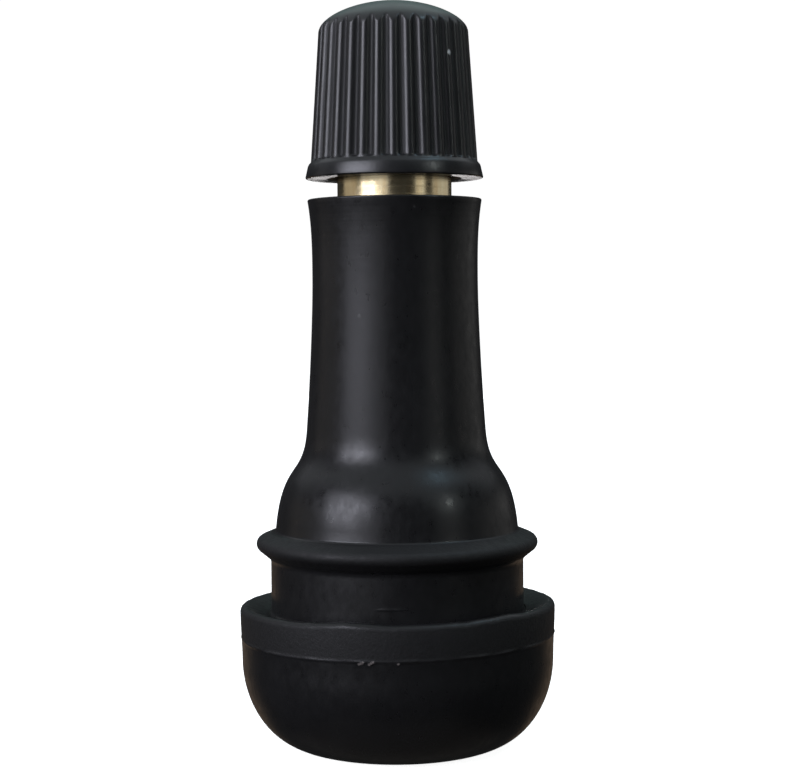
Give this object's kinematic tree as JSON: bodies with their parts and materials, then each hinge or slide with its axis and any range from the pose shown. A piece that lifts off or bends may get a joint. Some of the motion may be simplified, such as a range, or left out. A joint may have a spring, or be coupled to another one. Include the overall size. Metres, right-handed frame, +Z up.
{
  "type": "tyre valve",
  "caption": "Snap-in tyre valve: a rubber stem with a rim groove and flanged base round a brass tube, with a spring-loaded core and a fluted screw-on dust cap.",
  "frame": {"origin": "centre of the flat under the rubber base", "axes": "+Z up along the valve's axis, from the base to the dust cap; +X and +Y are level, and a rib of the cap faces +X"},
  "size_m": [0.0192, 0.0192, 0.0451],
  "materials": {
    "body_rubber": "satin black moulded rubber",
    "brass": "bright turned brass",
    "gasket": "matt red gasket",
    "pin_steel": "drawn steel wire",
    "spring_steel": "bright spring wire",
    "seal_rubber": "matt black rubber",
    "cap_plastic": "satin black moulded plastic"
  },
  "bodies": {
    "valve_body": {"rubber_body": "body_rubber", "brass_stem": "brass", "core_plug": "brass", "core_barrel": "brass", "barrel_gasket": "gasket", "core_spring": "spring_steel"},
    "pin": {"core_pin": "pin_steel", "core_cup": "brass", "cup_seal": "seal_rubber"},
    "cap_seal": {"cap_seal": "seal_rubber"},
    "cap": {"dust_cap": "cap_plastic"}
  },
  "joints": [
    {"name": "pin_press", "type": "slide", "parent": "valve_body", "child": "pin", "axis": [0, 0, -1], "range_m": [0, 0.0016], "stiffness_N_per_m": 600, "deforming": ["core_spring"]},
    {"name": "cap_lift", "type": "slide", "parent": "valve_body", "child": "cap_seal", "axis": [0, 0, 1], "range_m": [0, 0.00833]},
    {"name": "cap_turn", "type": "hinge", "parent": "cap_seal", "child": "cap", "pos_m": [0, 0, 0.0344], "axis": [0, 0, 1], "range_deg": [0, 3780]}
  ],
  "couplings": [
    {"joint": "cap_turn", "follows": "cap_lift", "rad_per_m": 7915.8}
  ]
}
